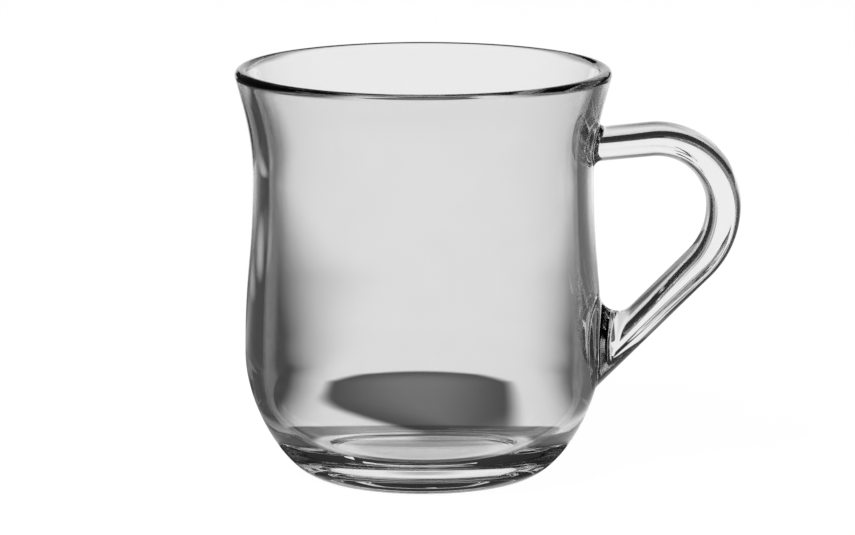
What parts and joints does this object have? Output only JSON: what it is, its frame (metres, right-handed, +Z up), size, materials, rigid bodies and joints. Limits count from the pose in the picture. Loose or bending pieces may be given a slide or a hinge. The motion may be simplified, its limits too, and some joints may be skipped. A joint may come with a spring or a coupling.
{
  "type": "glass mug",
  "caption": "Clear glass mug: round-bellied blown bowl with a narrow waist, flared lip and thick base, and a welded ear handle of flat-faced bar with ridged sides.",
  "frame": {"origin": "on the bowl's axis, on the plane that the foot ring rests on, just under the centre of the shallow recess in the underside", "axes": "+Z up along the bowl's axis, +X from the axis towards the handle, +Y across the handle"},
  "size_m": [0.1077, 0.08, 0.0875],
  "materials": {
    "clear_glass": "clear, fire-polished, colourless soda-lime glass"
  },
  "bodies": {
    "root": {"bowl": "clear_glass", "handle": "clear_glass"}
  },
  "joints": []
}
